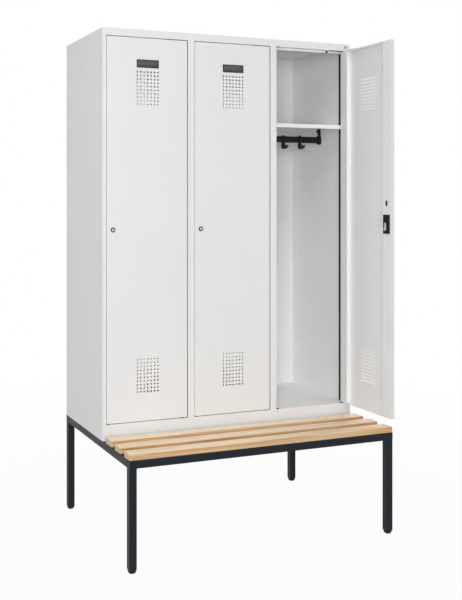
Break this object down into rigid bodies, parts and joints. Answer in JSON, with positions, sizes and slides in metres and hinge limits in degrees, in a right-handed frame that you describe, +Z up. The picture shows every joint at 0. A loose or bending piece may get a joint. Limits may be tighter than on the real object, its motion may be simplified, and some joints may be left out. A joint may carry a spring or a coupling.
{
  "type": "locker with bench",
  "caption": "Tall steel clothes locker with hinged perforated doors, hat shelves and coat rails, on a tube frame whose front carries a slatted wooden bench.",
  "frame": {"origin": "on the floor, in the middle in plan of the box round the locker as it stands with one door open", "axes": "+X along the doors towards the hinge side of each door, +Y from the bench to the back, +Z up"},
  "size_m": [1.2, 0.8436, 2.13],
  "materials": {
    "body_paint": "pale grey powder coat, fine texture",
    "frame_paint": "anthracite powder coat, satin",
    "beech": "clear lacquered beech",
    "foot_plastic": "black moulded plastic",
    "dark_plastic": "black moulded plastic",
    "dark_paint": "black paint, satin",
    "bare_steel": "zinc plated",
    "rubber": "matt black rubber"
  },
  "bodies": {
    "locker": {"front_rail": "frame_paint", "side_rail_right": "frame_paint", "rear_rail": "frame_paint", "side_rail_left": "frame_paint", "middle_rail": "frame_paint", "leg_front_left": "frame_paint", "leg_front_right": "frame_paint", "leg_rear_left": "frame_paint", "leg_rear_right": "frame_paint", "feet": "foot_plastic", "bench_slat_1": "beech", "bench_slat_2": "beech", "bench_slat_3": "beech", "slat_screws": "bare_steel", "frame_bolts": "bare_steel", "side_panel_left": "body_paint", "side_panel_right": "body_paint", "partition_1": "body_paint", "partition_2": "body_paint", "hinge_channels": "dark_paint", "front_header": "body_paint", "front_sill": "body_paint", "floor_panel": "body_paint", "top_panel": "body_paint", "back_panel": "body_paint", "pivot_blocks": "dark_plastic", "hinge_pins": "bare_steel", "door_buffers": "rubber", "hat_shelf_1": "body_paint", "hat_shelf_2": "body_paint", "hat_shelf_3": "body_paint", "clothes_rail_1": "dark_paint", "clothes_rail_2": "dark_paint", "clothes_rail_3": "dark_paint", "rail_brackets": "dark_plastic"},
    "door_1": {"door_panel_1": "body_paint", "door_stiffener_1": "body_paint", "label_holder_1": "dark_plastic", "lock_case_1": "dark_plastic"},
    "lock_1": {"lock_rotor_1": "bare_steel"},
    "door_2": {"door_panel_2": "body_paint", "door_stiffener_2": "body_paint", "label_holder_2": "dark_plastic", "lock_case_2": "dark_plastic"},
    "lock_2": {"lock_rotor_2": "bare_steel"},
    "door_3": {"door_panel_3": "body_paint", "door_stiffener_3": "body_paint", "label_holder_3": "dark_plastic", "lock_case_3": "dark_plastic"},
    "lock_3": {"lock_rotor_3": "bare_steel"},
    "hook_1": {"coat_hook_1": "dark_plastic"},
    "hook_2": {"coat_hook_2": "dark_plastic"},
    "hook_3": {"coat_hook_3": "dark_plastic"},
    "hook_4": {"coat_hook_4": "dark_plastic"},
    "hook_5": {"coat_hook_5": "dark_plastic"},
    "hook_6": {"coat_hook_6": "dark_plastic"},
    "hook_7": {"coat_hook_7": "dark_plastic"},
    "hook_8": {"coat_hook_8": "dark_plastic"},
    "hook_9": {"coat_hook_9": "dark_plastic"}
  },
  "joints": [
    {"name": "door_1_hinge", "type": "hinge", "parent": "locker", "child": "door_1", "pos_m": [-0.22733, -0.06817, 1.297], "axis": [0, 0, 1], "range_deg": [0, 95]},
    {"name": "lock_1_turn", "type": "hinge", "parent": "door_1", "child": "lock_1", "pos_m": [-0.554, -0.06817, 1.297], "axis": [0, -1, 0], "range_deg": [0, 90]},
    {"name": "door_2_hinge", "type": "hinge", "parent": "locker", "child": "door_2", "pos_m": [0.17233, -0.06817, 1.297], "axis": [0, 0, 1], "range_deg": [0, 95]},
    {"name": "lock_2_turn", "type": "hinge", "parent": "door_2", "child": "lock_2", "pos_m": [-0.15433, -0.06817, 1.297], "axis": [0, -1, 0], "range_deg": [0, 90]},
    {"name": "door_3_hinge", "type": "hinge", "parent": "locker", "child": "door_3", "pos_m": [0.572, -0.06817, 1.297], "axis": [0, 0, 1], "range_deg": [-90, 5]},
    {"name": "lock_3_turn", "type": "hinge", "parent": "door_3", "child": "lock_3", "pos_m": [0.572, -0.39483, 1.297], "axis": [1, 0, 0], "range_deg": [0, 90]},
    {"name": "hook_1_slide", "type": "slide", "parent": "locker", "child": "hook_1", "axis": [1, 0, 0], "range_m": [-0.0817, 0.0348]},
    {"name": "hook_2_slide", "type": "slide", "parent": "locker", "child": "hook_2", "axis": [1, 0, 0], "range_m": [-0.0348, 0.0348]},
    {"name": "hook_3_slide", "type": "slide", "parent": "locker", "child": "hook_3", "axis": [1, 0, 0], "range_m": [-0.0348, 0.0897]},
    {"name": "hook_4_slide", "type": "slide", "parent": "locker", "child": "hook_4", "axis": [1, 0, 0], "range_m": [-0.0817, 0.0348]},
    {"name": "hook_5_slide", "type": "slide", "parent": "locker", "child": "hook_5", "axis": [1, 0, 0], "range_m": [-0.0348, 0.0348]},
    {"name": "hook_6_slide", "type": "slide", "parent": "locker", "child": "hook_6", "axis": [1, 0, 0], "range_m": [-0.0348, 0.0897]},
    {"name": "hook_7_slide", "type": "slide", "parent": "locker", "child": "hook_7", "axis": [1, 0, 0], "range_m": [-0.0817, 0.0348]},
    {"name": "hook_8_slide", "type": "slide", "parent": "locker", "child": "hook_8", "axis": [1, 0, 0], "range_m": [-0.0348, 0.0348]},
    {"name": "hook_9_slide", "type": "slide", "parent": "locker", "child": "hook_9", "axis": [1, 0, 0], "range_m": [-0.0348, 0.0897]}
  ]
}
